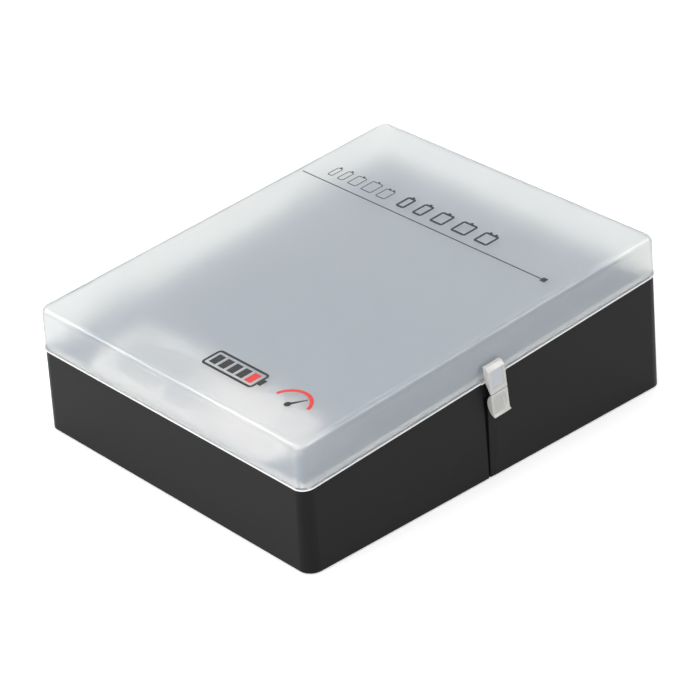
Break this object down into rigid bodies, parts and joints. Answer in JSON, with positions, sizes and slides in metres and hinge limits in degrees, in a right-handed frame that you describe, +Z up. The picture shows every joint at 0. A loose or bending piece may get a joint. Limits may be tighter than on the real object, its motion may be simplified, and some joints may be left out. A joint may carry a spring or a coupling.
{
  "type": "battery storage case",
  "caption": "Low sloping battery storage case: dark base with a cell tray, hinged frosted lid with a snap latch, and a built-in sliding cell tester with a needle dial",
  "frame": {"origin": "centre of the plan outline, on the surface the rubber feet stand on", "axes": "+X runs along the long side from the low end to the tall end, -Y is the latch side, +Y the hinge side, +Z up"},
  "size_m": [0.22, 0.1951, 0.079],
  "materials": {
    "base_plastic": "moulded charcoal styrene, fine satin grain",
    "tray_plastic": "moulded black styrene, satin",
    "lid_plastic": "frosted clear styrene, smooth outside",
    "latch_plastic": "natural polypropylene, smooth",
    "tester_face_plastic": "moulded white styrene",
    "tester_case_plastic": "moulded black plastic",
    "clear_plastic": "clear acrylic window",
    "card": "printed card, bands of plain colour",
    "needle_paint": "red enamel",
    "slider_plastic": "moulded red plastic",
    "contact_metal": "nickel-plated spring strip",
    "steel": "zinc-plated steel",
    "rubber": "soft black rubber",
    "board": "brown phenolic board",
    "resistor_body": "tan lacquered resistor"
  },
  "bodies": {
    "base": {"base_shell": "base_plastic", "bottom_cover": "base_plastic", "cover_screws": "steel", "rubber_feet": "rubber", "cell_tray": "tray_plastic", "hinge_pins": "steel", "tester_case": "tester_case_plastic", "tester_face": "tester_face_plastic", "dial_lens": "clear_plastic", "dial_card": "card", "meter_movement": "tester_case_plastic", "fixed_contact": "contact_metal", "block_cell_studs": "contact_metal", "circuit_board": "board", "load_resistors": "resistor_body", "tester_screws": "steel"},
    "lid": {"lid": "lid_plastic", "latch_plate": "latch_plastic"},
    "latch": {"latch_flap": "latch_plastic"},
    "slider": {"contact_slider": "slider_plastic", "sliding_contact": "contact_metal"},
    "needle": {"meter_needle": "needle_paint"}
  },
  "joints": [
    {"name": "lid_hinge", "type": "hinge", "parent": "base", "child": "lid", "pos_m": [0, 0.09552, 0.04915], "axis": [-0.9971, 0, -0.0757], "range_deg": [0, 105]},
    {"name": "latch_turn", "type": "hinge", "parent": "lid", "child": "latch", "pos_m": [0.00264, -0.09592, 0.0448], "axis": [-0.9971, 0, -0.0757], "range_deg": [0, 75]},
    {"name": "tester_slider", "type": "slide", "parent": "base", "child": "slider", "axis": [0, -1, 0], "range_m": [0, 0.0185]},
    {"name": "needle_swing", "type": "hinge", "parent": "base", "child": "needle", "pos_m": [-0.09305, 0.0409, 0.03477], "axis": [-0.0757, 0, 0.9971], "range_deg": [0, 80], "stiffness_Nm_per_rad": 0.00002}
  ]
}
